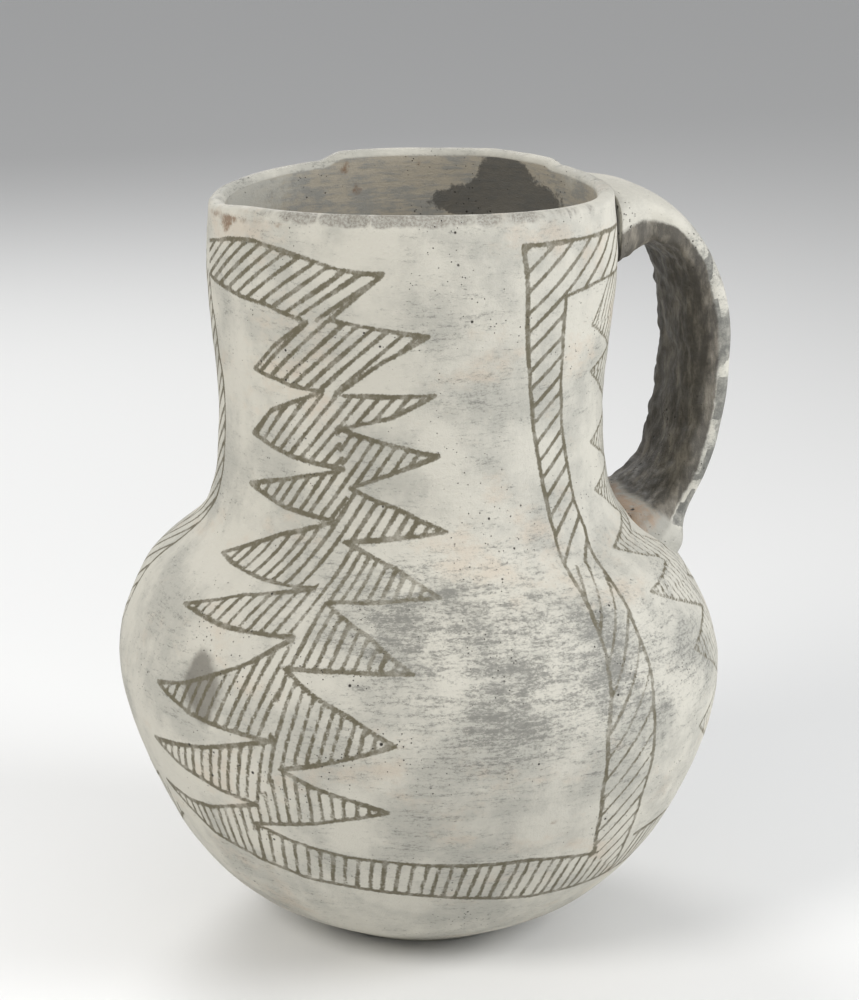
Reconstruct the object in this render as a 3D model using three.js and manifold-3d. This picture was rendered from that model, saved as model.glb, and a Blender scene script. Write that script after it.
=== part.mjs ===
// A hand-built pottery pitcher, in millimetres with +Z up: a moulded base pat, courses of
// clay coils laid on one another, a rim coil, and a strap handle with its two clay fillets.
// The origin is the centre of the flat foot, and the handle stands toward +X.
import * as THREE from "three";
import { mergeVertices } from "three/addons/utils/BufferGeometryUtils.js";
import Module from "manifold-3d";

const wasm = await Module();
wasm.setup();

// Outside of the vessel: radius from its axis, and height above the foot
const footRadius = 24;
const heelRadius = 44;
const heelHeight = 11.3;
const flankRadius = 58.5;
const flankHeight = 29;
const bellyRadius = 69.3;
const bellyHeight = 62;
const shoulderRadius = 61.5;
const shoulderHeight = 84;
const collarRadius = 47;
const collarHeight = 98.5;
const waistRadius = 43.6;
const waistHeight = 120;
const swellRadius = 46;
const swellHeight = 156;
const rimRadius = 45.2;
const rimHeight = 172;

// Wall
const wallThickness = 5.3;
const lipThickness = 3.9;
const lipTaper = 45;
const floorThickness = 7;

// The neck stands a little to one side of the bowl
const neckOffset = -2.6;
const leanStart = 40;
const leanEnd = 100;

// Coil courses
const courseNames = [
  "base_pat",
  "heel_course",
  "lower_bowl_course",
  "upper_bowl_course",
  "belly_course",
  "upper_belly_course",
  "shoulder_course",
  "collar_course",
  "lower_neck_course",
  "middle_neck_course",
  "upper_neck_course",
  "rim_coil",
];
const lapDrop = 3.2;
const jointGap = 0.3;
const stepsPerCourse = 3;
const roundSegments = 40;

// Strap handle
const handleAzimuth = 18;
const strapWidth = 26;
const strapThickness = 7.2;
const strapEdgeRadius = 3;
const strapSteps = 22;
const filletInset = 1.5;
const seatGap = 0.3;

const paleSlip = new THREE.MeshStandardMaterial({ color: 0xc9c4b8, roughness: 0.72, metalness: 0 });
const greyPaste = new THREE.MeshStandardMaterial({ color: 0x9b9486, roughness: 0.9, metalness: 0 });

// The outline is one smooth curve, read by its length from the edge of the foot
const outline = new THREE.CatmullRomCurve3(
  [
    [footRadius, 0],
    [heelRadius, heelHeight],
    [flankRadius, flankHeight],
    [bellyRadius, bellyHeight],
    [shoulderRadius, shoulderHeight],
    [collarRadius, collarHeight],
    [waistRadius, waistHeight],
    [swellRadius, swellHeight],
    [rimRadius, rimHeight],
  ].map(([radius, height]) => new THREE.Vector3(radius, height, 0)),
  false,
  "centripetal",
);
outline.arcLengthDivisions = 800;
const outlineLength = outline.getLength();

// A point of the outside, moved along the outline's normal: inward for a positive depth
function wallPoint(length, depth) {
  const share = THREE.MathUtils.clamp(length / outlineLength, 0, 1);
  const point = outline.getPointAt(share);
  const tangent = outline.getTangentAt(share);
  return new THREE.Vector2(point.x - tangent.y * depth, point.y + tangent.x * depth);
}

function wallDepth(length) {
  const towardLip = THREE.MathUtils.smoothstep(length, outlineLength - lipTaper, outlineLength);
  return THREE.MathUtils.lerp(wallThickness, lipThickness, towardLip);
}

// Points of the outside from one length to another, and of the inside
function outsideRun(from, to) {
  const run = [];
  for (let i = 0; i <= stepsPerCourse; i++) {
    run.push(wallPoint(THREE.MathUtils.lerp(from, to, i / stepsPerCourse), 0));
  }
  return run;
}

function insideRun(from, to) {
  const run = [];
  for (let i = 0; i <= stepsPerCourse; i++) {
    const length = THREE.MathUtils.lerp(from, to, i / stepsPerCourse);
    run.push(wallPoint(length, wallDepth(length)));
  }
  return run;
}

function leanAt(height) {
  return neckOffset * THREE.MathUtils.smoothstep(height, leanStart, leanEnd);
}

// Welds a geometry's shared vertices and drops the faces that the weld folds flat
function weld(geometry) {
  const bare = geometry.clone();
  bare.deleteAttribute("normal");
  bare.deleteAttribute("uv");
  const welded = mergeVertices(bare, 1e-4);
  const kept = [];
  for (let i = 0; i < welded.index.count; i += 3) {
    const face = [0, 1, 2].map((k) => welded.index.getX(i + k));
    if (new Set(face).size === 3) kept.push(...face);
  }
  welded.setIndex(kept);
  return welded;
}

// A profile turned about the axis, with +Z up, leaning as the neck does
function turned(profile) {
  const geometry = weld(new THREE.LatheGeometry(profile, roundSegments));
  geometry.rotateX(Math.PI / 2);
  const place = geometry.attributes.position;
  for (let i = 0; i < place.count; i++) {
    place.setX(i, place.getX(i) + leanAt(place.getZ(i)));
  }
  return geometry;
}

function solidFrom(geometry) {
  const welded = weld(geometry);
  return new wasm.Manifold(
    new wasm.Mesh({
      numProp: 3,
      vertProperties: Float32Array.from(welded.attributes.position.array),
      triVerts: Uint32Array.from(welded.index.array),
    }),
  );
}

function geometryFrom(solid) {
  const mesh = solid.getMesh();
  const geometry = new THREE.BufferGeometry();
  geometry.setAttribute("position", new THREE.BufferAttribute(Float32Array.from(mesh.vertProperties), 3));
  geometry.setIndex(new THREE.BufferAttribute(Uint32Array.from(mesh.triVerts), 1));
  geometry.computeVertexNormals();
  return geometry;
}

function named(name, geometry, material) {
  const mesh = new THREE.Mesh(geometry, material);
  mesh.name = name;
  return mesh;
}

// The base pat: a flat foot that turns up into a shallow dish
function basePat(top) {
  const dishStart = floorThickness * 1.2;
  const profile = [
    new THREE.Vector2(0, 0),
    ...outsideRun(0, top),
    ...insideRun(dishStart, top - lapDrop).reverse(),
    new THREE.Vector2(0, floorThickness),
  ];
  return turned(profile);
}

// A course of clay: its upper and lower faces slope down toward the inside, as laps do
function course(bottom, top, lapsAbove) {
  const profile = [
    ...outsideRun(bottom, top),
    ...insideRun(bottom - lapDrop, lapsAbove ? top - lapDrop : top).reverse(),
  ];
  profile.push(profile[0].clone());
  return turned(profile);
}

const vessel = new THREE.Group();
const courseLength = outlineLength / courseNames.length;
courseNames.forEach((name, i) => {
  const isLast = i === courseNames.length - 1;
  const bottom = i * courseLength + jointGap / 2;
  const top = (i + 1) * courseLength - (isLast ? 0 : jointGap / 2);
  const geometry = i === 0 ? basePat(top) : course(bottom, top, !isLast);
  vessel.add(named(name, geometry, paleSlip));
});

// The handle's middle line, in the plane through the neck's axis: distance from the axis and
// height, counted from the rim for its upper half and from the shoulder for its lower half
const upperLine = [
  [-4.2, -1.8],
  [0.4, -3.2],
  [5.1, -5.4],
  [10.4, -8.9],
  [14.2, -12.3],
  [19.0, -18.6],
  [23.0, -28.4],
  [24.4, -38.2],
].map(([out, up]) => new THREE.Vector2(rimRadius + out, rimHeight + up));
const lowerLine = [
  [7.9, 39.7],
  [6.1, 29.4],
  [3.0, 20.0],
  [-0.4, 12.8],
  [-3.0, 6.6],
  [-5.6, 0.6],
].map(([out, up]) => new THREE.Vector2(shoulderRadius + out, shoulderHeight + up));
const middleLine = [...upperLine, ...lowerLine];

// Undersides of the two fillets, counted in the same way
const upperUnderside = [
  [19.0, -18.6],
  [15.6, -20.9],
  [9.5, -21.8],
  [3.5, -22.6],
  [-3.5, -25.0],
].map(([out, up]) => new THREE.Vector2(rimRadius + out, rimHeight + up));
const lowerUpside = [
  [-9.5, 2.0],
  [-16.0, 8.0],
  [-14.5, 13.6],
  [-10.5, 13.0],
  [-6.2, 14.2],
  [-3.0, 17.2],
  [0.6, 22.4],
].map(([out, up]) => new THREE.Vector2(shoulderRadius + out, shoulderHeight + up));

// Turns a piece made in the X-Z plane to the handle's place on the neck
function toHandle(geometry) {
  geometry.rotateZ(THREE.MathUtils.degToRad(handleAzimuth));
  geometry.translate(neckOffset, 0, 0);
  return geometry;
}

function strapSection(grow) {
  const halfWidth = strapWidth / 2 + grow;
  const halfDepth = strapThickness / 2 + grow;
  const edge = Math.min(strapEdgeRadius, halfDepth - 0.3);
  const section = new THREE.Shape();
  const corners = [
    [halfWidth - edge, halfDepth - edge, 0],
    [edge - halfWidth, halfDepth - edge, 1],
    [edge - halfWidth, edge - halfDepth, 2],
    [halfWidth - edge, edge - halfDepth, 3],
  ];
  for (const [x, y, quarter] of corners) {
    section.absarc(x, y, edge, (quarter * Math.PI) / 2, ((quarter + 1) * Math.PI) / 2, false);
  }
  section.closePath();
  return section;
}

function strapSolid(grow) {
  const path = new THREE.CatmullRomCurve3(
    middleLine.map((point) => new THREE.Vector3(point.x, 0, point.y)),
    false,
    "centripetal",
  );
  const geometry = new THREE.ExtrudeGeometry(strapSection(grow), {
    steps: strapSteps,
    curveSegments: 2,
    extrudePath: path,
  });
  return solidFrom(toHandle(geometry));
}

// The outside of the vessel as one plug, a little larger, which seats the handle's pieces
function vesselPlug() {
  const grown = [new THREE.Vector2(0, -seatGap)];
  const steps = stepsPerCourse * courseNames.length;
  for (let i = 0; i <= steps; i++) {
    grown.push(wallPoint((outlineLength * i) / steps, -seatGap));
  }
  grown.push(new THREE.Vector2(rimRadius + seatGap, rimHeight + strapThickness));
  grown.push(new THREE.Vector2(0, rimHeight + strapThickness));
  return solidFrom(turned(grown));
}

// A clay fillet: an outline in the handle's plane, as thick as the strap is wide, less an inset
function filletSolid(points) {
  const depth = strapWidth - 2 * filletInset;
  const geometry = new THREE.ExtrudeGeometry(new THREE.Shape(points), {
    depth,
    bevelEnabled: false,
  });
  geometry.translate(0, 0, -depth / 2);
  geometry.rotateX(Math.PI / 2);
  return solidFrom(toHandle(geometry));
}

const plug = vesselPlug();
const strap = strapSolid(0).subtract(plug);
const strapRoom = strapSolid(seatGap);
const upperFillet = filletSolid([...upperLine.slice(0, 6), ...upperUnderside.slice(1)])
  .subtract(plug)
  .subtract(strapRoom);
const lowerFillet = filletSolid([...lowerLine.slice(2), ...lowerUpside])
  .subtract(plug)
  .subtract(strapRoom);

const handle = new THREE.Group();
handle.add(named("strap_handle", geometryFrom(strap), paleSlip));
handle.add(named("upper_handle_fillet", geometryFrom(upperFillet), greyPaste));
handle.add(named("lower_handle_fillet", geometryFrom(lowerFillet), greyPaste));

const pitcher = new THREE.Group();
pitcher.add(vessel, handle);

export default pitcher;
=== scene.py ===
# A hand-built pottery pitcher with painted hatched bands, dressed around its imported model.
import math

import bpy
import numpy as np
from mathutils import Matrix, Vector, kdtree, noise


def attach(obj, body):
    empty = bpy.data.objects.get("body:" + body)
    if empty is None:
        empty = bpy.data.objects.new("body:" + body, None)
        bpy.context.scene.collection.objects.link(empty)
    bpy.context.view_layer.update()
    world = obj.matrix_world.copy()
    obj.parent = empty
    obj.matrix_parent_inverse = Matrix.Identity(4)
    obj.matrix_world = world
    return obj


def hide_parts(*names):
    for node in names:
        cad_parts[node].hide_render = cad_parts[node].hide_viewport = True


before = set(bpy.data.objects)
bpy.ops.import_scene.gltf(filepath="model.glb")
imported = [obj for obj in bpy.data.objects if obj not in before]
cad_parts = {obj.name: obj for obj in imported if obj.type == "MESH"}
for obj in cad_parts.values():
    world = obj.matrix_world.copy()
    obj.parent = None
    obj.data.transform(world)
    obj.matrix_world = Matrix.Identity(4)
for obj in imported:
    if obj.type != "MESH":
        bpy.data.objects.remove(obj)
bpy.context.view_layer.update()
mm = 0.001

# Camera, lights and floor
stage = {
    "cameraAt": (1.6, -700, 295.4),
    "cameraPitch": 15.7,
    "lens": 114.3,
    "sensorHeight": 36,
    "floorSide": 9,
    "floorColour": (0.80, 0.80, 0.79, 1),
    "worldColour": (0.97, 0.98, 1.0, 1),
    "worldStrength": 0.4,
}
lamps = [
    {"name": "keyLamp", "at": (-560, -560, 620), "size": 400, "power": 5.3, "colour": (1.0, 0.98, 0.95)},
    {"name": "rightLamp", "at": (620, -160, 380), "size": 380, "power": 3.8, "colour": (0.97, 0.98, 1.0)},
    {"name": "backLamp", "at": (-250, 640, 560), "size": 400, "power": 2.6, "colour": (1.0, 1.0, 1.0)},
]


def makeStage():
    camera = bpy.data.objects.new("camera", bpy.data.cameras.new("camera"))
    bpy.context.scene.collection.objects.link(camera)
    camera.location = Vector(stage["cameraAt"]) * mm
    camera.rotation_euler = (math.radians(90 - stage["cameraPitch"]), 0, 0)
    camera.data.sensor_fit = "VERTICAL"
    camera.data.sensor_height = stage["sensorHeight"]
    camera.data.lens = stage["lens"]
    camera.data.clip_start = 0.01
    bpy.context.scene.camera = camera

    for lamp in lamps:
        data = bpy.data.lights.new(lamp["name"], "AREA")
        data.shape = "DISK"
        data.size = lamp["size"] * mm
        data.energy = lamp["power"]
        data.color = lamp["colour"]
        light = bpy.data.objects.new(lamp["name"], data)
        bpy.context.scene.collection.objects.link(light)
        light.location = Vector(lamp["at"]) * mm
        aim = Vector((0, 0, 90)) * mm - light.location
        light.rotation_euler = aim.to_track_quat("-Z", "Y").to_euler()

    world = bpy.data.worlds.new("studio")
    bpy.context.scene.world = world
    world.use_nodes = True
    background = world.node_tree.nodes["Background"]
    background.inputs["Color"].default_value = stage["worldColour"]
    background.inputs["Strength"].default_value = stage["worldStrength"]
    bpy.context.scene.view_settings.view_transform = "Standard"

    bpy.ops.mesh.primitive_plane_add(size=stage["floorSide"])
    floor = bpy.context.object
    floor.name = "floor"
    material = bpy.data.materials.new("floor")
    material.use_nodes = True
    shader = material.node_tree.nodes["Principled BSDF"]
    shader.inputs["Base Color"].default_value = stage["floorColour"]
    shader.inputs["Roughness"].default_value = 0.45
    floor.data.materials.append(material)


makeStage()
print("stage ready")

# The vessel, in millimetres: radius from its axis and height above the foot
vessel = {
    "outline": [
        (24, 0), (44, 11.3), (58.5, 29), (69.3, 62), (61.5, 84),
        (47, 98.5), (43.6, 120), (46, 156), (45.2, 172),
    ],
    "wall": 5.3,
    "lip": 3.9,
    "lipTaper": 45,
    "lipRound": 1.6,
    "floor": 7,
    "cornerRise": 1.2,
    "lap": 3.2,
    "neckOffset": -2.6,
    "leanStart": 40,
    "leanEnd": 100,
    "segments": 480,
    "outerStep": 0.6,
    "innerStep": 1.8,
    "lipSteps": 12,
    "floorSteps": 13,
    "sharpAngle": 50,
}


def smoothstep(low, high, value):
    share = np.clip((np.asarray(value, float) - low) / (high - low), 0, 1)
    return share * share * (3 - 2 * share)


# A centripetal curve through the outline's points, as radius, height and length along it
def smoothOutline(points, steps=60):
    points = np.array(points, float)
    ends = [2 * points[0] - points[1], *points, 2 * points[-1] - points[-2]]
    curve = []
    for i in range(1, len(ends) - 2):
        a, b, c, d = ends[i - 1 : i + 3]
        ta = 0
        tb = ta + np.linalg.norm(b - a) ** 0.5
        tc = tb + np.linalg.norm(c - b) ** 0.5
        td = tc + np.linalg.norm(d - c) ** 0.5
        for t in np.linspace(tb, tc, steps, endpoint=False):
            ab = (tb - t) / (tb - ta) * a + (t - ta) / (tb - ta) * b
            bc = (tc - t) / (tc - tb) * b + (t - tb) / (tc - tb) * c
            cd = (td - t) / (td - tc) * c + (t - tc) / (td - tc) * d
            abc = (tc - t) / (tc - ta) * ab + (t - ta) / (tc - ta) * bc
            bcd = (td - t) / (td - tb) * bc + (t - tb) / (td - tb) * cd
            curve.append((tc - t) / (tc - tb) * abc + (t - tb) / (tc - tb) * bcd)
    curve.append(points[-1])
    curve = np.array(curve)
    run = np.concatenate([[0], np.cumsum(np.linalg.norm(np.diff(curve, axis=0), axis=1))])
    return curve[:, 0], curve[:, 1], run


outRadius, outHeight, outRun = smoothOutline(vessel["outline"])
outLength = outRun[-1]
slope = np.gradient(np.stack([outRadius, outHeight], 1), axis=0)
slope /= np.linalg.norm(slope, axis=1)[:, None]


def wallPoint(run, depth=0.0):
    r = np.interp(run, outRun, outRadius)
    z = np.interp(run, outRun, outHeight)
    tr = np.interp(run, outRun, slope[:, 0])
    tz = np.interp(run, outRun, slope[:, 1])
    return r - tz * depth, z + tr * depth


def wallDepth(run):
    share = smoothstep(outLength - vessel["lipTaper"], outLength, run)
    return vessel["wall"] + (vessel["lip"] - vessel["wall"]) * share


def leanAt(height):
    return vessel["neckOffset"] * smoothstep(vessel["leanStart"], vessel["leanEnd"], height)


def radiusAt(height):
    return np.interp(height, outHeight, outRadius)


# Profile points of one band of the wall, each with its side: 0 outside, 1 inside, 2 lip
def bandProfile(low, high, isBase, isRim):
    lipRound = vessel["lipRound"]
    top = outLength - lipRound if isRim else high
    outerCount = round((top - low) / vessel["outerStep"])
    rows = []
    if isBase:
        for r in np.linspace(0, vessel["outline"][0][0], vessel["floorSteps"] + 1)[:-1]:
            rows.append((r, 0, 0))
    for run in np.linspace(low, top, outerCount + 1):
        r, z = wallPoint(run)
        rows.append((r, z, 0))
    innerTop = top if isRim else high - vessel["lap"]
    innerLow = vessel["floor"] * vessel["cornerRise"] if isBase else low - vessel["lap"]
    if isRim:
        ra, za = wallPoint(top)
        rb, zb = wallPoint(top, wallDepth(top))
        for turn in np.linspace(0, math.pi, vessel["lipSteps"] + 1)[1:-1]:
            r = (ra + rb) / 2 + (ra - rb) / 2 * math.cos(turn)
            z = (za + zb) / 2 + (za - zb) / 2 * math.cos(turn) + lipRound * math.sin(turn)
            rows.append((r, z, 2))
    innerCount = round((innerTop - innerLow) / vessel["innerStep"])
    for run in np.linspace(innerTop, innerLow, innerCount + 1):
        r, z = wallPoint(run, wallDepth(run))
        rows.append((r, z, 1))
    if isBase:
        start = rows[-1]
        for share in np.linspace(1, 0, vessel["floorSteps"] + 1)[1:]:
            z = vessel["floor"] + (start[1] - vessel["floor"]) * share * share
            rows.append((start[0] * share, z, 1))
    return np.array(rows)


# Spins a closed profile about the axis into one closed shell
def spinBand(name, rows):
    bpy.ops.object.select_all(action="DESELECT")
    bpy.ops.mesh.primitive_circle_add(vertices=len(rows), radius=0.05)
    band = bpy.context.object
    band.name = name
    flat = np.zeros((len(rows), 3))
    flat[:, 0] = rows[:, 0] * mm
    flat[:, 2] = rows[:, 1] * mm
    band.data.vertices.foreach_set("co", flat.ravel())
    bpy.ops.object.mode_set(mode="EDIT")
    bpy.ops.mesh.select_all(action="SELECT")
    bpy.ops.mesh.spin(steps=vessel["segments"], angle=2 * math.pi, center=(0, 0, 0), axis=(0, 0, 1))
    bpy.ops.mesh.select_all(action="SELECT")
    bpy.ops.mesh.remove_doubles(threshold=1e-6)
    bpy.ops.mesh.delete_loose()
    bpy.ops.mesh.select_all(action="SELECT")
    bpy.ops.mesh.normals_make_consistent(inside=False)
    bpy.ops.object.mode_set(mode="OBJECT")
    return band


def readPoints(mesh):
    points = np.empty(len(mesh.vertices) * 3)
    mesh.vertices.foreach_get("co", points)
    return points.reshape(-1, 3) / mm


def writePoints(mesh, points):
    mesh.vertices.foreach_set("co", (points * mm).ravel())
    mesh.update()


def storeMask(mesh, name, values):
    layer = mesh.attributes.new(name, "FLOAT", "POINT")
    layer.data.foreach_set("value", np.asarray(values, np.float32))


# Painted design: azimuth in degrees from the front, toward the handle, and height in millimetres
paint = {
    "lineHalf": 0.55,
    "heavyHalf": 0.605,
    "lightHalf": 0.44,
    "hatchHalf": 0.5,
    "thinHalf": 0.36,
    "sampleStep": 0.25,
    "shake": 0.22,
    "shakeGrain": (7.3, 0.15, 0.18),
    "firstRow": 0.6,  # this and the next two in gaps between strokes
    "lastRow": 0.25,
    "rowDrift": 0.16,
    "shortest": 0.8,
    "bow": 0.05,
    "swell": 0.35,
    "faintLoss": 0.35,
    "columnShifts": (0, 205),
    "bandShifts": (0, 192),
    "spurs": [
        {
            "right": [
                (-76, 163), (-60, 164.5), (-47, 165), (-29, 162.5), (-19, 160.5), (-7, 160), (-22, 150),
            ],
            "left": [(-75, 154.5), (-62, 153), (-42, 151.5), (-29, 149)],
            "slant": 34, "gap": 2.6,
        },
        {
            "right": [(-22, 150), (-11, 149), (5, 147), (-8, 141), (-21, 133.5)],
            "left": [(-29, 149), (-40, 143), (-49, 136.5), (-36, 134.5), (-25, 134)],
            "slant": 42, "gap": 2.5,
        },
        {
            "right": [(-19, 133.5), (7, 134), (-5, 129), (-21, 126)],
            "left": [(-25, 134), (-43, 128), (-52, 121.5), (-36, 118.5), (-19, 117)],
            "slant": 50, "gap": 2.4,
        },
        {
            "right": [(-21, 126), (8, 120.5), (-4, 117), (-17, 113)],
            "left": [(-19, 117), (-53, 110), (-38, 107), (-21, 105.5)],
            "slant": 56, "gap": 2.4,
        },
        {
            "right": [(-17, 113), (-4, 109), (10, 104), (-18, 101.5)],
            "left": [(-21, 105.5), (-38, 101), (-56, 94.5), (-38, 92.5), (-23, 92.5)],
            "slant": 58, "gap": 2.5,
        },
        {
            "right": [(-18, 101.5), (-4, 97), (7, 92), (-19, 90.5)],
            "left": [(-23, 92.5), (-40, 89.5), (-55, 85), (-40, 83.5), (-24, 84)],
            "slant": 60, "gap": 2.4,
        },
        {
            "right": [(-19, 90.5), (-9, 85.5), (0, 78.5), (-12, 78.5), (-25, 78)],
            "left": [
                (-24, 84), (-34, 77), (-38, 75), (-48, 70), (-56, 68), (-46, 64), (-37, 63), (-27, 62.5),
            ],
            "slant": 66, "gap": 2.6,
        },
        {
            "right": [(-25, 78), (-19, 73.5), (-12, 69.5), (-4, 64), (-15, 59.5), (-26, 56)],
            "left": [(-27, 62.5), (-43, 57), (-51, 55), (-60, 53.5), (-53, 50), (-42, 47), (-33, 45.5)],
            "slant": 72, "gap": 2.6,
        },
        {
            "right": [(-26, 56), (-20, 53), (-6, 48), (-20, 43.5), (-35, 40)],
            "left": [(-33, 45.5), (-46, 41), (-54, 40), (-63, 41.5), (-50, 33), (-38, 30)],
            "slant": 86, "gap": 2.6,
        },
    ],
    "footBand": {
        "upper": [(-35, 40), (-27, 37.5), (-15, 35), (-7, 34.5), (2, 33.5), (13, 33), (23, 33), (39, 30.5)],
        "lower": [(-38, 30), (-27, 27.5), (-14, 26), (-3, 25), (11, 23), (27, 21), (41, 20.5), (53, 20.5)],
        "slant": 80, "gap": 2.8,
        "backUpper": [(53, 31), (90, 32), (140, 31.5), (190, 32), (240, 31), (278, 35), (291, 41)],
        "backLower": [(53, 20.5), (90, 21), (140, 20.5), (190, 21), (240, 20), (278, 22), (297, 33)],
        "backSlant": 82,
    },
    "sideBand": {
        "left": [
            (32, 165), (33, 158), (34, 145), (36, 134.5), (38, 124), (40, 116), (42, 108.5), (43, 100.5),
            (42, 94), (41, 89.5), (40, 85), (40, 79.5), (39, 75), (38, 69), (36, 62), (36, 49), (38, 35),
            (40, 30),
        ],
        "right": [
            (47, 153), (47, 145.5), (48, 133), (50, 122.5), (52, 114.5), (54, 107), (56, 99.5), (53, 93.5),
            (51, 87), (50, 81.5), (50, 74), (49, 69), (48, 65), (48, 58.5), (48, 44), (50, 30.5), (53, 20.5),
        ],
        "leftWaist": 8, "rightWaist": 7,
        "slant": 38, "lowerSlant": 46, "lowerFaint": 0.35, "gap": 3.7,
    },
    "neckBand": {
        "upper": [(32, 165), (49, 165), (63, 165), (84, 164.5)],
        "lower": [(47, 153), (58, 154), (70, 154.5), (86, 154)],
    },
    "handleSpurs": {
        "left": [
            (71, 154), (61, 144.5), (80, 137), (64, 133.5), (87, 122), (66, 117), (87, 109.5), (67, 106),
            (85, 97), (63, 94), (77, 89), (79, 87.5), (61, 85.5), (84, 75.5), (67, 71.5), (83, 60),
            (67, 53.5), (84, 42),
        ],
        "right": [
            (88, 154), (84, 144), (97, 137), (86, 131), (101, 122), (92, 115), (101, 109), (90, 103),
            (97, 97), (80, 94), (91, 88), (97, 83), (88, 81.5), (103, 75), (90, 69), (102, 60),
            (88, 53), (98, 43),
        ],
        "slant": 62, "turnAt": 9, "gap": 2.2,
    },
    "leftBand": {
        "left": [(-90, 163), (-88, 150), (-87, 120), (-88, 104), (-96, 92), (-98, 75), (-94, 55), (-90, 36)],
        "right": [
            (-76, 154), (-74, 145), (-71, 131), (-72, 110), (-75, 102), (-80, 95), (-82, 85), (-85, 72),
            (-82, 55), (-80, 38),
        ],
        "slant": 40, "gap": 3.0,
    },
}


# A painter's line between points, bowed and shaken a little, as azimuth and height
def bend(points, seed):
    shake = paint["shake"]
    line = []
    for i in range(len(points) - 1):
        a = np.array(points[i], float)
        b = np.array(points[i + 1], float)
        scale = np.array([math.radians(1) * radiusAt((a[1] + b[1]) / 2), 1.0])
        length = np.linalg.norm((b - a) * scale)
        count = max(2, int(length / paint["sampleStep"]))
        for step in range(count):
            spot = a + (b - a) * step / count
            sway = noise.noise(Vector(np.array((seed, *spot)) * paint["shakeGrain"]))
            line.append((spot[0] + sway * shake / scale[0], spot[1] + sway * shake))
    line.append(tuple(points[-1]))
    return line


# Parallel strokes across a closed shape, at a slant and a gap, as azimuth and height
def hatch(shape, slant, gap, seed):
    shape = np.array(shape, float)
    middle = shape.mean(axis=0)
    scale = np.array([math.radians(1) * radiusAt(middle[1]), 1.0])
    flat = (shape - middle) * scale
    turn = math.radians(slant)
    along = np.array([math.cos(turn), math.sin(turn)])
    across = np.array([-along[1], along[0]])
    u = flat @ along
    v = flat @ across
    strokes = []
    row = v.min() + gap * paint["firstRow"]
    index = 0
    while row < v.max() - gap * paint["lastRow"]:
        level = row + gap * paint["rowDrift"] * noise.noise(Vector((seed, index * 1.7, 0.3)))
        cuts = []
        for i in range(len(v)):
            j = (i + 1) % len(v)
            if (v[i] > level) != (v[j] > level):
                cuts.append(u[i] + (u[j] - u[i]) * (level - v[i]) / (v[j] - v[i]))
        cuts.sort()
        for start, end in zip(cuts[::2], cuts[1::2]):
            if end - start < paint["shortest"]:
                continue
            bow = paint["bow"] * (end - start) * noise.noise(Vector((seed, index, 4.1)))
            line = []
            for share in np.linspace(0.02, 0.98, 5):
                offset = level + bow * math.sin(math.pi * share)
                spot = along * (start + (end - start) * share) + across * offset
                line.append(tuple(middle + spot / scale))
            strokes.append(line)
        row += gap
        index += 1
    return strokes


# Every stroke of the design: its points, half its width, and how faint it is
def drawDesign():
    strokes = []
    seed = 1

    def add(points, half, faint=0.0):
        nonlocal seed
        seed += 1
        strokes.append((bend(points, seed), half, faint))

    def addHatches(shape, slant, gap, half, faint=0.0):
        nonlocal seed
        seed += 1
        for line in hatch(shape, slant, gap, seed):
            add(line, half, faint)

    for shift in paint["columnShifts"]:
        for spur in paint["spurs"]:
            right = [(a + shift, z) for a, z in spur["right"]]
            left = [(a + shift, z) for a, z in spur["left"]]
            add(right, paint["lineHalf"])
            add(left, paint["lineHalf"])
            addHatches(right + left[::-1], spur["slant"], spur["gap"], paint["hatchHalf"])

    band = paint["footBand"]
    add(band["upper"], paint["lineHalf"])
    add(band["lower"], paint["lineHalf"])
    addHatches(band["upper"] + band["lower"][::-1], band["slant"], band["gap"], paint["hatchHalf"])
    upper, lower = band["backUpper"], band["backLower"]
    for i in range(len(lower) - 1):
        shape = [upper[i], upper[i + 1], lower[i + 1], lower[i]]
        addHatches(shape, band["backSlant"], band["gap"], paint["hatchHalf"])
    add(lower, paint["lineHalf"])
    add(upper, paint["lineHalf"])

    band = paint["sideBand"]
    for shift in paint["bandShifts"]:
        left = [(a + shift, z) for a, z in band["left"]]
        right = [(a + shift, z) for a, z in band["right"]]
        add(left, paint["heavyHalf"])
        add(right, paint["lineHalf"])
        leftWaist, rightWaist = band["leftWaist"], band["rightWaist"]
        shape = left[: leftWaist + 1] + right[rightWaist::-1]
        if shift == 0:  # the corner with the neck band is hatched in one go
            shape += paint["neckBand"]["lower"][1:] + paint["neckBand"]["upper"][:0:-1]
        else:
            add([left[0], right[0]], paint["lineHalf"])
        addHatches(shape, band["slant"], band["gap"], paint["hatchHalf"])
        shape = left[leftWaist:] + right[: rightWaist - 1 : -1]
        addHatches(shape, band["lowerSlant"], band["gap"], paint["hatchHalf"], band["lowerFaint"])

    band = paint["neckBand"]
    add(band["upper"], paint["lineHalf"])
    add(band["lower"], paint["lightHalf"])

    band = paint["handleSpurs"]
    add(band["left"], paint["thinHalf"])
    add(band["right"], paint["thinHalf"])
    for i in range(len(band["left"]) - 1):
        shape = [band["left"][i], band["left"][i + 1], band["right"][i + 1], band["right"][i]]
        slant = band["slant"] if i < band["turnAt"] else 180 - band["slant"]
        addHatches(shape, slant, band["gap"], paint["thinHalf"])

    band = paint["leftBand"]
    add(band["left"], paint["lineHalf"])
    add(band["right"], paint["lineHalf"])
    addHatches(band["left"] + band["right"][::-1], band["slant"], band["gap"], paint["hatchHalf"])
    return strokes


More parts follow.
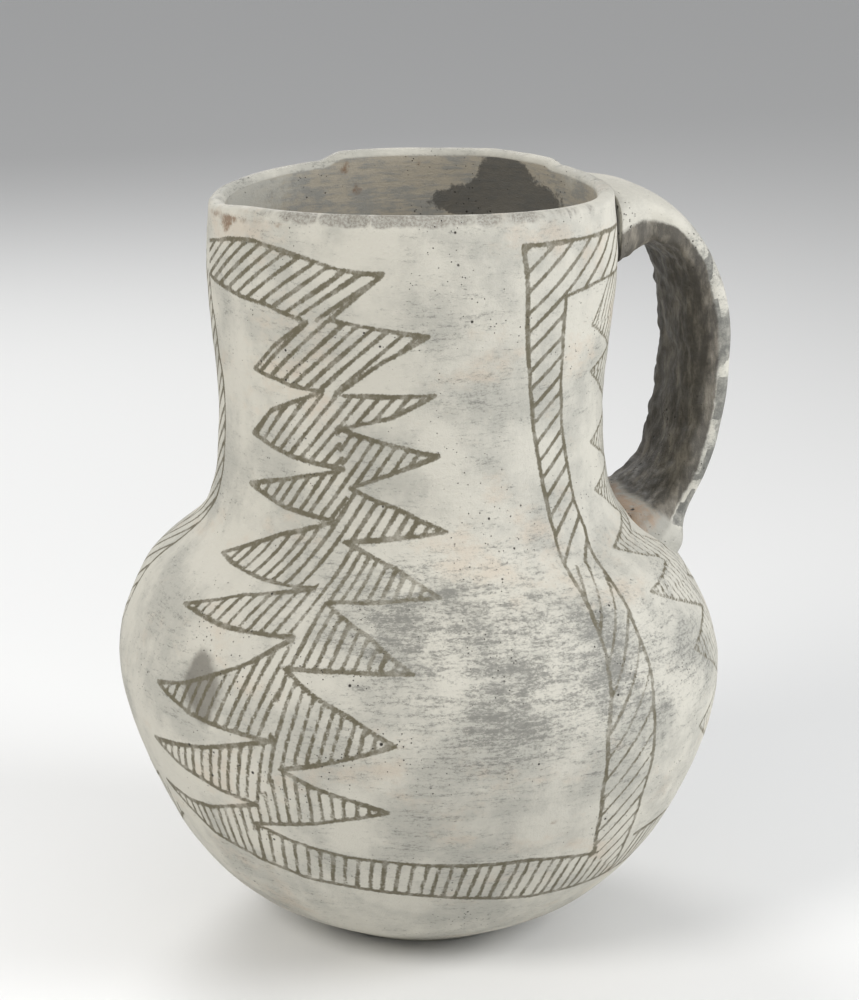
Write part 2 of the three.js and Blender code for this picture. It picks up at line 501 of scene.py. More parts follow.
# Samples of the design on the wall, in a tree for the distance from any point of it
def paintTree(strokes):
    spots = []
    halves = []
    for index, (line, half, faint) in enumerate(strokes):
        line = np.array(line)
        for k, (azimuth, height) in enumerate(line):
            turn = math.radians(azimuth)
            r = float(radiusAt(height))
            spots.append((r * math.sin(turn), -r * math.cos(turn), height))
            swell = noise.noise(Vector((index * 3.1, k * 0.03, 1.7)))
            halves.append(half * (1 + paint["swell"] * swell) - paint["faintLoss"] * faint)
    tree = kdtree.KDTree(len(spots))
    for i, spot in enumerate(spots):
        tree.insert(spot, i)
    tree.balance()
    return tree, halves


designTree, designHalves = paintTree(drawDesign())
print("design drawn:", len(designHalves), "samples")

# Soft patches on the wall: azimuth, height, half widths along and up, and strength
patches = {
    "smoke": [
        (20, 84, 26, 10, 0.9), (8, 98, 18, 7, 0.55), (34, 70, 22, 12, 0.7), (8, 66, 20, 9, 0.5),
        (-8, 86, 14, 6, 0.45), (62, 66, 18, 10, 0.6), (74, 84, 10, 8, 0.35), (-48, 80, 16, 8, 0.35),
        (10, 150, 13, 12, 0.4), (20, 128, 10, 16, 0.4), (-2, 44, 22, 8, 0.35), (30, 30, 25, 6, 0.4),
        (-34, 150, 9, 8, 0.25), (170, 80, 40, 16, 0.6), (210, 120, 20, 25, 0.4),
    ],
    "smudge": [(-43, 70.5, 4.2, 3.6, 1.3), (-44, 75.5, 2.0, 2.4, 0.7), (-42, 64.5, 2.2, 2.2, 0.6)],
    "stain": [
        (-72, 170, 5, 0.9, 0.9), (-62, 167.5, 2.2, 1.6, 1.1), (-55, 169, 5, 0.9, 0.8),
        (-40, 169, 4, 1.0, 0.7), (86, 98, 5, 6, 0.5), (26, 42.7, 1.2, 0.8, 0.8), (47, 105, 0.6, 0.5, 1.2),
        (-158, 168, 1.2, 1.4, 1.2), (178, 169, 1.0, 0.8, 1.2), (-162, 163, 1.6, 1.6, 0.9),
        (-170, 161, 2.2, 2.2, 0.6),
    ],
    "soot": [
        (149, 166.5, 4.5, 4, 1.5), (160, 160, 9, 2.5, 1.2), (142, 159.5, 8, 4, 1.1), (128, 162, 6, 6, 0.5),
    ],
    "limed": [(-112, 168, 18, 7, 1.1), (118, 170, 6, 3, 0.7), (180, 148, 60, 8, 0.3)],
}


def patchMask(kind, azimuth, height):
    mask = np.zeros(len(azimuth))
    for centre, level, wide, tall, strength in patches[kind]:
        turn = (azimuth - centre + 180) % 360 - 180
        away = np.radians(turn) * radiusAt(height)
        mask += strength * np.exp(-0.5 * ((away / wide) ** 2 + ((height - level) / tall) ** 2))
    return mask


# The hand-made rim: high at front and back, low at the sides and behind on the left
rim = {
    "start": 145,
    "saddle": 0.9,
    "leftDrop": 1.7,
    "leftSpan": (-158, -150, -80, -50),
    "backNotch": 0.9,
    "notchSpan": (128, 133, 150, 176),
    "wearSpots": [(-12, 20, 1.0), (34, 12, 0.4)],  # azimuth, half width and strength
    "wearDepth": 1.3,
    "nibble": 0.45,
    "mostWear": 2.2,
    "wearLow": 3.4,
    "wearHigh": 0.4,
    "wearInset": 0.8,
    "wearRough": 0.35,
    "wearDrop": 0.55,
    "wearShow": 1.6,
}


# One between the two middle azimuths, and none outside the outer two
def plateau(azimuth, edges):
    return smoothstep(edges[0], edges[1], azimuth) * (1 - smoothstep(edges[2], edges[3], azimuth))


def rimLift(azimuth):
    lift = rim["saddle"] * np.cos(2 * np.radians(azimuth))
    lift = lift - rim["leftDrop"] * plateau(azimuth, rim["leftSpan"])
    return lift + rim["backNotch"] * plateau(azimuth, rim["notchSpan"])


# How far the lip's outer edge is worn away, in millimetres
def rimWear(azimuth):
    worn = []
    for a in azimuth:
        rough = noise.noise(Vector((a * 0.21, 2.2, 0))) + 0.5 * noise.noise(Vector((a * 0.8, 5.1, 0)))
        front = 0
        for centre, wide, strength in rim["wearSpots"]:
            front += strength * math.exp(-0.5 * ((a - centre) / wide) ** 2)
        worn.append(max(0.0, rim["nibble"] * rough) + rim["wearDepth"] * front * (0.7 + 0.8 * rough))
    return np.clip(np.array(worn), 0, rim["mostWear"])


# The potter's hand: how broad and how deep the hollows and the scraper's marks are
hand = {
    "broadGrain": 0.028,
    "broadSwell": 0.55,
    "scrapeGrain": (0.09, 0.09, 0.2),
    "scrapeSwell": 0.16,
    "settle": 9,
    "lipGrain": 0.9,
}
farFromPaint = -1.5
chunk = 20000


def shapeBand(band, rows):
    mesh = band.data
    points = readPoints(mesh)
    azimuth = np.degrees(np.arctan2(points[:, 0], -points[:, 1]))
    radius = np.hypot(points[:, 0], points[:, 1])
    height = points[:, 2].copy()
    nearest = np.empty(len(points), int)
    for start in range(0, len(points), chunk):
        part = slice(start, start + chunk)
        gap = (radius[part, None] - rows[None, :, 0]) ** 2 + (height[part, None] - rows[None, :, 1]) ** 2
        nearest[part] = gap.argmin(axis=1)
    side = rows[nearest, 2]

    ink = np.full(len(points), farFromPaint)
    for i in np.nonzero(side == 0)[0]:
        _, index, away = designTree.find(points[i])
        ink[i] = max(farFromPaint, designHalves[index] - away)
    storeMask(mesh, "ink", ink)
    storeMask(mesh, "inside", side == 1)
    storeMask(mesh, "smoke", patchMask("smoke", azimuth, height) * (side != 1))
    storeMask(mesh, "smudge", patchMask("smudge", azimuth, height) * (side == 0))
    storeMask(mesh, "stain", patchMask("stain", azimuth, height))
    storeMask(mesh, "soot", patchMask("soot", azimuth, height) * (side == 1))
    storeMask(mesh, "limed", patchMask("limed", azimuth, height) * (side == 1))

    # Hollows and swellings left by the hand and the scraper
    swell = np.empty(len(points))
    for i, point in enumerate(points):
        broad = noise.noise(Vector(point) * hand["broadGrain"])
        scraped = noise.noise(Vector(point * hand["scrapeGrain"]))
        swell[i] = hand["broadSwell"] * broad + hand["scrapeSwell"] * scraped
    settle = smoothstep(0, hand["settle"], height)
    out = np.stack([points[:, 0], points[:, 1]], 1) / np.maximum(radius, 1e-6)[:, None]
    points[:, :2] += out * (swell * settle)[:, None]

    # The lip's wear, then its rise and fall
    wear = rimWear(azimuth)
    lipTop = outHeight[-1]
    edge = smoothstep(lipTop - rim["wearLow"], lipTop - rim["wearHigh"], height) * (side != 1)
    innerRadius = wallPoint(outLength, vessel["lip"])[0]
    outward = smoothstep(innerRadius + rim["wearInset"], outRadius[-1], radius)
    grain = np.array([noise.noise(Vector(p) * hand["lipGrain"]) for p in points * (edge > 0)[:, None]])
    cut = wear * edge * outward * (1 + rim["wearRough"] * grain)
    points[:, :2] -= out * cut[:, None]
    points[:, 2] -= cut * rim["wearDrop"]
    storeMask(mesh, "chip", np.clip(cut * rim["wearShow"], 0, 1) * (side != 1))
    points[:, 2] += rimLift(azimuth) * smoothstep(rim["start"], lipTop, height)
    points[:, 0] += leanAt(height)
    writePoints(mesh, points)
    bpy.ops.object.shade_smooth_by_angle(angle=math.radians(vessel["sharpAngle"]))


# The wall's four visible bands: first and last course, and the courses that each stands for
bandPlan = [
    ("bowlWall", 0, 4, ["base_pat", "heel_course", "lower_bowl_course", "upper_bowl_course"]),
    ("bellyWall", 4, 7, ["belly_course", "upper_belly_course", "shoulder_course"]),
    ("neckWall", 7, 10, ["collar_course", "lower_neck_course", "middle_neck_course"]),
    ("rimWall", 10, 12, ["upper_neck_course", "rim_coil"]),
]
courseCount = bandPlan[-1][2]
courseRun = outLength / courseCount
wallPieces = []
for bandName, first, last, nodes in bandPlan:
    profileRows = bandProfile(first * courseRun, last * courseRun, first == 0, last == courseCount)
    piece = spinBand(bandName, profileRows)
    shapeBand(piece, profileRows)
    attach(piece, "root")
    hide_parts(*nodes)
    wallPieces.append(piece)
    print(bandName, len(piece.data.polygons), "faces")

# The strap handle: outer and inner faces in its own plane, distance from the neck's axis and height
strap = {
    "azimuth": 18,
    "outer": [
        (43.2, 170.4), (47, 170.4), (52.2, 169.4), (58.3, 166.4), (63.2, 162.1), (67.3, 156.7),
        (70.4, 150.9), (72.8, 144.7), (74, 137.4), (74.3, 130.3), (73.9, 123.3), (72.7, 116.2),
        (71.2, 109), (68.4, 102.3), (65.4, 96.2), (63.4, 90.4), (62.4, 85.5), (57.8, 80),
    ],
    "inner": [
        (43.2, 151.5), (47, 154), (51.4, 155.7), (55, 156.4), (58, 155.2), (60.2, 152.3), (61.6, 148),
        (62.5, 143), (63.1, 137), (63.6, 131), (63.7, 125), (63.1, 118.6), (61.7, 112), (59.6, 105.4),
        (57, 100.8), (53.4, 97.6), (49.2, 96.8), (44, 95),
    ],
    "width": 28,
    "rootFlare": 5,
    "rimRoot": (0.0, 0.13),
    "bellyRoot": (0.84, 1.0),
    "rings": 210,
    "around": 84,
    "squareness": 3.4,
    "swell": (0.45, 0.07),  # this and the next two are lumps of clay, as size and grain
    "coarseLumps": (0.9, 0.16),
    "fineLumps": (0.45, 0.42),
    "lumpsBelow": 0.4,
    "edgeSwell": 0.8,
    "edgeFrom": 0.8,
    "pathSteps": 400,
    "paintedFace": 0.9,
    "paintedHalf": 11,
}
# Where the strap's looks change: by thickness, outer face at 1 and inner at -1, or by length, rim at 0
strapZones = {
    "side": (-0.15, 0.35),
    "face": (0.8, 1),
    "inner": (-0.6, 0.2),
    "crown": (0.20, 0.29),
    "root": (0.84, 0.95),
}


def curveThrough(points, shares):
    points = np.array(points, float)
    grid = np.arange(len(points))
    at = shares * (len(points) - 1)
    low = np.clip(at.astype(int), 0, len(points) - 2)
    t = (at - low)[:, None]
    before = points[np.clip(low - 1, 0, grid[-1])]
    here = points[low]
    after = points[low + 1]
    later = points[np.clip(low + 2, 0, grid[-1])]
    return 0.5 * (
        2 * here + (after - before) * t
        + (2 * before - 5 * here + 4 * after - later) * t**2
        + (3 * here - before - 3 * after + later) * t**3
    )


def lumpAt(spot, lump):
    return lump[0] * noise.noise(spot * lump[1])


# Extrudes a round blank ring by ring, then bends it to the strap's form
def makeStrap():
    bpy.ops.object.select_all(action="DESELECT")
    bpy.ops.mesh.primitive_circle_add(vertices=strap["around"], radius=1, fill_type="NGON")
    piece = bpy.context.object
    piece.name = "strapHandle"
    bpy.ops.object.mode_set(mode="EDIT")
    bpy.ops.mesh.select_all(action="SELECT")
    for _ in range(strap["rings"]):
        bpy.ops.mesh.extrude_region_move(TRANSFORM_OT_translate={"value": (0, 0, 1)})
    bpy.ops.mesh.select_all(action="SELECT")
    bpy.ops.mesh.normals_make_consistent(inside=False)
    bpy.ops.object.mode_set(mode="OBJECT")
    mesh = piece.data
    blank = readPoints(mesh) * mm
    ring = np.round(blank[:, 2]) / strap["rings"]
    turn = np.arctan2(blank[:, 1], blank[:, 0])

    outer = curveThrough(strap["outer"], ring)
    inner = curveThrough(strap["inner"], ring)
    middle = (outer + inner) / 2
    toOuter = (outer - inner) / 2
    power = 2 / strap["squareness"]
    across = np.sign(np.cos(turn)) * np.abs(np.cos(turn)) ** power
    through = np.sign(np.sin(turn)) * np.abs(np.sin(turn)) ** power
    flare = 1 - smoothstep(*strap["rimRoot"], ring) + smoothstep(*strap["bellyRoot"], ring)
    half = strap["width"] / 2 + strap["rootFlare"] * flare
    sideways = across * half
    place = middle + toOuter * through[:, None]
    lumps = np.empty(len(place))
    for i in range(len(place)):
        spot = Vector((place[i, 0], sideways[i], place[i, 1]))
        lumps[i] = lumpAt(spot, strap["swell"])
        if through[i] < strap["lumpsBelow"]:
            rough = lumpAt(spot, strap["coarseLumps"]) + lumpAt(spot, strap["fineLumps"])
            lumps[i] += rough * min(1.0, strap["lumpsBelow"] - through[i])
    direction = toOuter / np.linalg.norm(toOuter, axis=1)[:, None]
    place = place + direction * (lumps * np.where(through >= 0, 1, -1))[:, None]
    onEdge = np.abs(across) > strap["edgeFrom"]
    sideways = sideways + strap["edgeSwell"] * lumps * np.sign(across) * onEdge

    angle = math.radians(strap["azimuth"])
    points = np.empty((len(place), 3))
    points[:, 0] = vessel["neckOffset"] + place[:, 0] * math.cos(angle) - sideways * math.sin(angle)
    points[:, 1] = place[:, 0] * math.sin(angle) + sideways * math.cos(angle)
    points[:, 2] = place[:, 1]
    writePoints(mesh, points)

    shares = np.linspace(0, 1, strap["pathSteps"])
    steps = np.linalg.norm(np.diff(curveThrough(strap["outer"], shares), axis=0), axis=1)
    run = np.interp(ring, shares, np.concatenate([[0], np.cumsum(steps)]))
    return piece, run, sideways, through, ring


# Painted marks: dark teeth on the strap's outer face, in run and side millimetres
teeth = [
    [(18, 14), (32, 14), (25, 1)], [(28, -14), (45, -14), (33, -3)], [(36, 14), (50, 14), (43, 0)],
    [(45, -14), (60, -14), (51, -1)], [(54, 14), (68, 14), (61, 1)], [(64, -14), (75, -14), (69, -2)],
    [(72, 14), (84, 14), (78, 0)], [(78, -14), (89, -14), (84, -2)], [(88, 14), (99, 14), (93, 1)],
]
# The same paint over the near edge, in run millimetres and share of the thickness, outer face at 1
sideTeeth = [
    [(29, 1.1), (31, 0.5), (33, -0.6), (62, -0.7), (60, 0.2), (48, 0.35), (38, 0.1)],
    [(45, 1.1), (48, 0.3), (60, 0.15), (56, 1.1)],
    [(63, 1.1), (62, 0.1), (73, 0.0), (72, 1.1)],
    [(78, 1.1), (80, 0.3), (88, 0.2), (87, 1.1)],
    [(92, 1.1), (90, 0.3), (101, 0.1), (99, 1.1)],
]


def insideShape(shape, x, y):
    mask = np.zeros(len(x), bool)
    for i in range(len(shape)):
        (xa, ya), (xb, yb) = shape[i], shape[(i + 1) % len(shape)]
        crosses = (ya > y) != (yb > y)
        at = xa + (xb - xa) * (y - ya) / (yb - ya if yb != ya else 1e-9)
        mask ^= crosses & (x < at)
    return mask


def dressStrap():
    piece, run, sideways, through, ring = makeStrap()
    mesh = piece.data
    painted = np.zeros(len(run), bool)
    nearMiddle = (through > 0) & (np.abs(sideways) < strap["paintedHalf"])
    onFace = (through > strap["paintedFace"]) | nearMiddle
    for tooth in teeth:
        painted |= insideShape(tooth, run, sideways) & onFace
    for tooth in sideTeeth:
        painted |= insideShape(tooth, run, through) & ~onFace & (sideways < 0)
    zones = strapZones
    # Painted shade on the strap's inner face, toward the neck: the mask is full there, slight on the sides
    # and none on the outer face
    depth = smoothstep(*zones["side"], through) * 0.85 + 0.15 * smoothstep(*zones["face"], through)
    storeMask(mesh, "ink", np.where(painted, 0.6, -0.6))
    storeMask(mesh, "underShade", 1 - depth)
    storeMask(mesh, "root", smoothstep(*zones["root"], ring))
    storeMask(mesh, "inner", 1 - smoothstep(*zones["inner"], through))
    storeMask(mesh, "crown", 1 - smoothstep(*zones["crown"], ring))
    bpy.ops.object.select_all(action="DESELECT")
    piece.select_set(True)
    bpy.context.view_layer.objects.active = piece
    bpy.ops.object.shade_smooth()
    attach(piece, "root")
    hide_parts("strap_handle", "upper_handle_fillet", "lower_handle_fillet")
    return piece


strapPiece = dressStrap()
print("strap made:", len(strapPiece.data.polygons), "faces")


# Small helpers for materials
def addNode(tree, kind, settings=None, **inputs):
    node = tree.nodes.new(kind)
    for key, value in (settings or {}).items():
        setattr(node, key, value)
    for key, value in inputs.items():  # at0, at1 and so on name a socket by its place
        byPlace = key.startswith("at") and key[2:].isdigit()
        socket = node.inputs[int(key[2:]) if byPlace else key.replace("_", " ")]
        if isinstance(value, bpy.types.NodeSocket):
            tree.links.new(value, socket)
        else:
            socket.default_value = value
    return node


def readMask(tree, name):
    return addNode(tree, "ShaderNodeAttribute", {"attribute_name": name}).outputs["Fac"]


def noiseField(tree, vector, scale, detail=4, rough=0.55):
    node = addNode(tree, "ShaderNodeTexNoise", Vector=vector, Scale=scale, Detail=detail, Roughness=rough)
    return node.outputs["Fac"]


def span(tree, value, low, high, bottom=0.0, top=1.0):
    node = addNode(
        tree, "ShaderNodeMapRange", {"interpolation_type": "SMOOTHSTEP"},
        Value=value, From_Min=low, From_Max=high, To_Min=bottom, To_Max=top,
    )
    return node.outputs["Result"]


def sum2(tree, a, b, kind="ADD"):
    return addNode(tree, "ShaderNodeMath", {"operation": kind, "use_clamp": False}, at0=a, at1=b).outputs[0]


def blendColour(tree, share, a, b):
    settings = {"data_type": "RGBA", "clamp_factor": True}
    return addNode(tree, "ShaderNodeMix", settings, at0=share, at6=a, at7=b).outputs[2]


def stretched(tree, vector, scale):
    return addNode(tree, "ShaderNodeMapping", Vector=vector, Scale=scale).outputs["Vector"]


# The clay's grain. Noise is scale, detail and roughness, and a span is from low, high to bottom, top
clayGrain = {
    "mottle": (0.55, 7, 0.68),
    "streak": (1.0, 7, 0.72),
    "streakStretch": (0.13, 0.13, 0.9),
    "stipple": (1.5, 8, 0.85),
    "stippleStretch": (0.6, 0.6, 1.3),
    "cluster": (0.06, 4, 0.6),
    "clusterSpan": (0.42, 0.66, 0.35, 1.0),
    "pitLayers": ((0.24, 0.75), (0.8, 1.05)),  # cell scale and size
    "pitEdge": (0.0, 0.06),
    "fine": (2.6, 5, 0.6),
}
# Depth of each in the clay's relief, in millimetres
relief = {"mottle": 0.22, "streak": 0.12, "fine": 0.10, "pits": 0.30}


def makeGrainGroup():
    group = bpy.data.node_groups.new("clayGrain", "ShaderNodeTree")
    group.interface.new_socket("Vector", in_out="INPUT", socket_type="NodeSocketVector")
    group.interface.new_socket("Pit Share", in_out="INPUT", socket_type="NodeSocketFloat")
    for name in ("Mottle", "Streak", "Stipple", "Pits", "Height"):
        group.interface.new_socket(name, in_out="OUTPUT", socket_type="NodeSocketFloat")
    start = group.nodes.new("NodeGroupInput")
    end = group.nodes.new("NodeGroupOutput")
    vector = start.outputs["Vector"]
    mottle = noiseField(group, vector, *clayGrain["mottle"])
    brushed = stretched(group, vector, clayGrain["streakStretch"])
    streak = noiseField(group, brushed, *clayGrain["streak"])
    dabbed = stretched(group, vector, clayGrain["stippleStretch"])
    stipple = noiseField(group, dabbed, *clayGrain["stipple"])
    cluster = span(group, noiseField(group, vector, *clayGrain["cluster"]), *clayGrain["clusterSpan"])
    pits = None
    for scale, share in clayGrain["pitLayers"]:
        cells = addNode(group, "ShaderNodeTexVoronoi", Vector=vector, Scale=scale, Randomness=1.0)
        size = sum2(group, sum2(group, cluster, start.outputs["Pit Share"], "MULTIPLY"), share, "MULTIPLY")
        reach = sum2(group, size, cells.outputs["Distance"], "SUBTRACT")
        layer = span(group, reach, *clayGrain["pitEdge"])
        pits = layer if pits is None else sum2(group, pits, layer, "MAXIMUM")
    fine = noiseField(group, vector, *clayGrain["fine"])
    height = sum2(group, mottle, relief["mottle"], "MULTIPLY")
    height = sum2(group, height, sum2(group, streak, relief["streak"], "MULTIPLY"))
    height = sum2(group, height, sum2(group, fine, relief["fine"], "MULTIPLY"))
    height = sum2(group, height, sum2(group, pits, relief["pits"], "MULTIPLY"), "SUBTRACT")
    group.links.new(mottle, end.inputs["Mottle"])
    group.links.new(streak, end.inputs["Streak"])
    group.links.new(stipple, end.inputs["Stipple"])
    group.links.new(pits, end.inputs["Pits"])
    group.links.new(height, end.inputs["Height"])
    return group


# Smoke clouds broken into grains and brushed streaks
smokeGrain = {
    "amountSpan": (0.0, 1.8, 0.0, 0.46),
    "weights": (("Broad", 1.1), ("Streak", 1.5), ("Stipple", 2.4)),
    "coverSpan": (0.12, 0.60, 0.0, 0.86),
}


def makeSmokeGroup():
    group = bpy.data.node_groups.new("smokeGrain", "ShaderNodeTree")
    for name in ("Amount", "Broad", "Streak", "Stipple"):
        group.interface.new_socket(name, in_out="INPUT", socket_type="NodeSocketFloat")
    group.interface.new_socket("Cover", in_out="OUTPUT", socket_type="NodeSocketFloat")
    start = group.nodes.new("NodeGroupInput")
    end = group.nodes.new("NodeGroupOutput")
    total = span(group, start.outputs["Amount"], *smokeGrain["amountSpan"])
    for name, weight in smokeGrain["weights"]:
        centred = sum2(group, start.outputs[name], 0.5, "SUBTRACT")
        total = sum2(group, total, sum2(group, centred, weight, "MULTIPLY"))
    group.links.new(span(group, total, *smokeGrain["coverSpan"]), end.inputs["Cover"])
    return group


# Mineral paint with ragged edges, rubbed thin in places
wornPaint = {
    "ragged": (1.6, 5, 0.65),
    "raggedSpan": (0.2, 0.8, -0.18, 0.18),
    "edgeSpan": (-0.16, 0.2),
    "rubbed": (0.28, 8, 0.72),
    "keptSpan": (0.44, 0.74, 0.96, 0.4),
}


def makePaintGroup():
    group = bpy.data.node_groups.new("wornPaint", "ShaderNodeTree")
    group.interface.new_socket("Vector", in_out="INPUT", socket_type="NodeSocketVector")
    group.interface.new_socket("Ink", in_out="INPUT", socket_type="NodeSocketFloat")
    group.interface.new_socket("Wear", in_out="INPUT", socket_type="NodeSocketFloat")
    group.interface.new_socket("Cover", in_out="OUTPUT", socket_type="NodeSocketFloat")
    start = group.nodes.new("NodeGroupInput")
    end = group.nodes.new("NodeGroupOutput")
    vector = start.outputs["Vector"]
    ragged = span(group, noiseField(group, vector, *wornPaint["ragged"]), *wornPaint["raggedSpan"])
    edge = span(group, sum2(group, start.outputs["Ink"], ragged), *wornPaint["edgeSpan"])
    rubbed = noiseField(group, vector, *wornPaint["rubbed"])
    kept = span(group, sum2(group, rubbed, start.outputs["Wear"]), *wornPaint["keptSpan"])
    group.links.new(sum2(group, edge, kept, "MULTIPLY"), end.inputs["Cover"])
    return group


grainGroup = makeGrainGroup()
smokeGroup = makeSmokeGroup()
paintGroup = makePaintGroup()

clay = {
    "slipWarm": (0.58, 0.56, 0.49, 1),
    "slipCool": (0.44, 0.43, 0.38, 1),
    "peach": (0.56, 0.47, 0.37, 1),
    "smokeGrey": (0.185, 0.183, 0.163, 1),
    "speck": (0.16, 0.15, 0.13, 1),
    "ink": (0.115, 0.100, 0.060, 1),
    "smudge": (0.13, 0.12, 0.10, 1),
    "stain": (0.17, 0.09, 0.04, 1),
    "inside": (0.36, 0.325, 0.26, 1),
    "insideGrey": (0.26, 0.255, 0.23, 1),
    "insideDark": (0.075, 0.072, 0.064, 1),
    "paste": (0.28, 0.26, 0.225, 1),
    "pit": (0.03, 0.026, 0.02, 1),
    # Painted shade for the strap's inner face: near black, with paler smears within it
    "underShade": (0.055, 0.048, 0.038, 1),
    "underShadePale": (0.27, 0.24, 0.19, 1),
    "rust": (0.36, 0.23, 0.14, 1),
    "strapInk": (0.12, 0.12, 0.108, 1),
}


def startMaterial(name):
    material = bpy.data.materials.new(name)
    material.use_nodes = True
    tree = material.node_tree
    shader = tree.nodes["Principled BSDF"]
    shader.inputs["Specular IOR Level"].default_value = 0.35
    coords = addNode(tree, "ShaderNodeTexCoord").outputs["Object"]
    vector = stretched(tree, coords, (1 / mm, 1 / mm, 1 / mm))
    return material, tree, shader, vector


def finishMaterial(tree, shader, colour, rough, height):
    bump = addNode(tree, "ShaderNodeBump", Strength=1.0, Distance=mm, Height=height)
    tree.links.new(colour, shader.inputs["Base Color"])
    tree.links.new(rough, shader.inputs["Roughness"])
    tree.links.new(bump.outputs["Normal"], shader.inputs["Normal"])


# The wall's looks, with noise and spans as in the clay's grain
wallLook = {
    "pitShare": 0.15,
    "broad": (0.05, 6, 0.62),
    "broadSpan": (0.40, 0.62),
    "blush": (1.0, 6, 0.7),
    "blushStretch": (0.04, 0.04, 0.07),
    "blushSpan": (0.54, 0.70, 0, 0.5),
    "speckSpan": (0.60, 0.76, 0, 0.45),
    "smudgeMottle": 0.5,
    "smudgeSpan": (0.45, 1.1, 0, 0.75),
    "stain": (0.6, 5, 0.7),
    "stainSpan": (0.25, 0.6, 0, 0.8),
    "wearSpan": (0.3, 1.2, 0.0, 0.12),
    "patchy": (0.09, 6, 0.7),
    "patchySpan": (0.90, 1.14),
    "limedSpan": (0.15, 0.5, 0, 0.85),
    "sootSpan": (0.95, 1.15, 0, 0.85),
    "paste": (1.8, 5, 0.7),
    "pasteSpan": (0.4, 0.62),
    "chipMottle": 0.4,
    "chipSpan": (0.35, 0.9),
    "roughSpan": (0.3, 0.7, 0.52, 0.8),
}


def wallMaterial():
    look = wallLook
    material, tree, shader, vector = startMaterial("slippedWall")
    grain = addNode(
        tree, "ShaderNodeGroup", {"node_tree": grainGroup}, Vector=vector, Pit_Share=look["pitShare"],
    )
    mottle = grain.outputs["Mottle"]
    streak = grain.outputs["Streak"]
    stipple = grain.outputs["Stipple"]
    smoke = readMask(tree, "smoke")
    broad = noiseField(tree, vector, *look["broad"])
    colour = blendColour(tree, span(tree, broad, *look["broadSpan"]), clay["slipWarm"], clay["slipCool"])
    blush = noiseField(tree, stretched(tree, vector, look["blushStretch"]), *look["blush"])
    colour = blendColour(tree, span(tree, blush, *look["blushSpan"]), colour, clay["peach"])
    cloud = addNode(
        tree, "ShaderNodeGroup", {"node_tree": smokeGroup},
        Amount=smoke, Broad=broad, Streak=streak, Stipple=stipple,
    )
    colour = blendColour(tree, cloud.outputs["Cover"], colour, clay["smokeGrey"])
    colour = blendColour(tree, span(tree, stipple, *look["speckSpan"]), colour, clay["speck"])
    smudge = sum2(tree, readMask(tree, "smudge"), sum2(tree, mottle, look["smudgeMottle"], "MULTIPLY"))
    colour = blendColour(tree, span(tree, smudge, *look["smudgeSpan"]), colour, clay["smudge"])
    stain = sum2(tree, readMask(tree, "stain"), noiseField(tree, vector, *look["stain"]), "MULTIPLY")
    stained = span(tree, stain, *look["stainSpan"])
    colour = blendColour(tree, stained, colour, clay["stain"])
    cover = addNode(
        tree, "ShaderNodeGroup", {"node_tree": paintGroup},
        Vector=vector, Ink=readMask(tree, "ink"), Wear=span(tree, smoke, *look["wearSpan"]),
    )
    colour = blendColour(tree, cover.outputs["Cover"], colour, clay["ink"])

    patchy = sum2(tree, noiseField(tree, vector, *look["patchy"]), streak)
    inner = blendColour(tree, span(tree, patchy, *look["patchySpan"]), clay["inside"], clay["insideGrey"])
    limed = sum2(tree, readMask(tree, "limed"), mottle, "MULTIPLY")
    inner = blendColour(tree, span(tree, limed, *look["limedSpan"]), inner, clay["slipCool"])
    soot = sum2(tree, readMask(tree, "soot"), mottle)
    inner = blendColour(tree, span(tree, soot, *look["sootSpan"]), inner, clay["insideDark"])
    inner = blendColour(tree, stained, inner, clay["stain"])
    colour = blendColour(tree, readMask(tree, "inside"), colour, inner)
    crumbly = span(tree, noiseField(tree, vector, *look["paste"]), *look["pasteSpan"])
    paste = blendColour(tree, crumbly, clay["paste"], clay["slipCool"])
    chip = sum2(tree, readMask(tree, "chip"), sum2(tree, mottle, look["chipMottle"], "MULTIPLY"))
    colour = blendColour(tree, span(tree, chip, *look["chipSpan"]), colour, paste)
    colour = blendColour(tree, grain.outputs["Pits"], colour, clay["pit"])
    rough = span(tree, mottle, *look["roughSpan"])
    finishMaterial(tree, shader, colour, rough, grain.outputs["Height"])
    return material


# The strap's looks, in the same terms
strapLook = {
    "pitShare": 0.2,
    "broad": (0.07, 5, 0.65),
    "broadSpan": (0.38, 0.56),
    "greySpan": (0.92, 1.12, 0, 0.85),
    "crownShare": 0.8,
    "wear": 0.08,
    "smear": (1.0, 6, 0.7),
    "smearStretch": (0.35, 0.35, 0.12),
    "smearSpan": (0.42, 0.74, 0, 0.8),
    "underShadeMottle": 0.6,
    "underShadeSpan": (0.75, 1.15, 0, 0.92),
    "root": (0.15, 4, 0.6),
    "rootSpan": (0.85, 1.35, 0, 0.75),
    "rustSpan": (0.25, 0.6, 0, 0.7),
    "roughSpan": (0.3, 0.7, 0.5, 0.8),
}


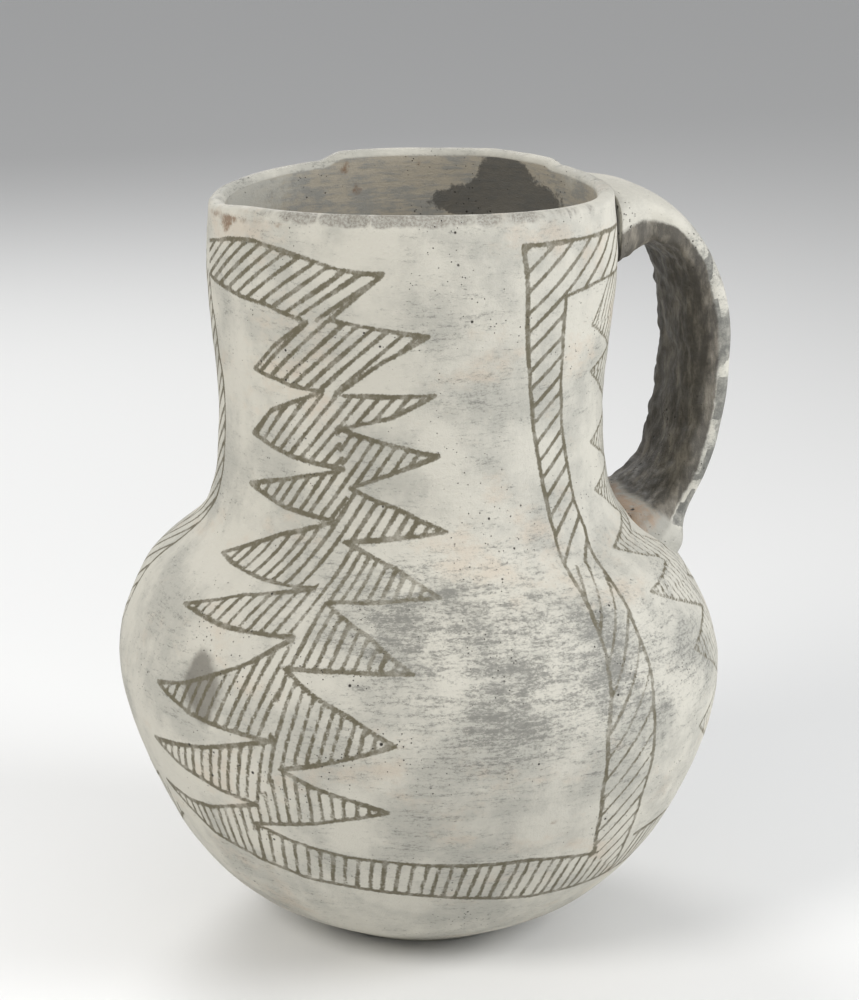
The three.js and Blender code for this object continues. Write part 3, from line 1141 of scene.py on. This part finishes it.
def strapMaterial():
    look = strapLook
    material, tree, shader, vector = startMaterial("slippedStrap")
    grain = addNode(
        tree, "ShaderNodeGroup", {"node_tree": grainGroup}, Vector=vector, Pit_Share=look["pitShare"],
    )
    mottle = grain.outputs["Mottle"]
    broad = noiseField(tree, vector, *look["broad"])
    colour = blendColour(tree, span(tree, broad, *look["broadSpan"]), clay["slipWarm"], clay["slipCool"])
    grey = sum2(tree, broad, grain.outputs["Stipple"])
    colour = blendColour(tree, span(tree, grey, *look["greySpan"]), colour, clay["smokeGrey"])
    crown = sum2(tree, readMask(tree, "crown"), look["crownShare"], "MULTIPLY")
    colour = blendColour(tree, crown, colour, clay["slipWarm"])
    cover = addNode(
        tree, "ShaderNodeGroup", {"node_tree": paintGroup},
        Vector=vector, Ink=readMask(tree, "ink"), Wear=look["wear"],
    )
    colour = blendColour(tree, cover.outputs["Cover"], colour, clay["strapInk"])
    smear = noiseField(tree, stretched(tree, vector, look["smearStretch"]), *look["smear"])
    # Painted shade on the strap's inner face, toward the neck: near black, broken by paler smears
    lower = blendColour(tree, span(tree, smear, *look["smearSpan"]), clay["underShade"], clay["underShadePale"])
    underShade = sum2(tree, readMask(tree, "underShade"), sum2(tree, mottle, look["underShadeMottle"], "MULTIPLY"))
    colour = blendColour(tree, span(tree, underShade, *look["underShadeSpan"]), colour, lower)
    root = sum2(tree, readMask(tree, "root"), noiseField(tree, vector, *look["root"]))
    colour = blendColour(tree, span(tree, root, *look["rootSpan"]), colour, clay["slipCool"])
    innerRoot = sum2(tree, readMask(tree, "root"), readMask(tree, "inner"), "MULTIPLY")
    rusty = sum2(tree, innerRoot, smear, "MULTIPLY")
    colour = blendColour(tree, span(tree, rusty, *look["rustSpan"]), colour, clay["rust"])
    colour = blendColour(tree, grain.outputs["Pits"], colour, clay["pit"])
    rough = span(tree, mottle, *look["roughSpan"])
    finishMaterial(tree, shader, colour, rough, grain.outputs["Height"])
    return material


wallClay = wallMaterial()
for piece in wallPieces:
    piece.data.materials.append(wallClay)
strapPiece.data.materials.append(strapMaterial())
print("materials ready")
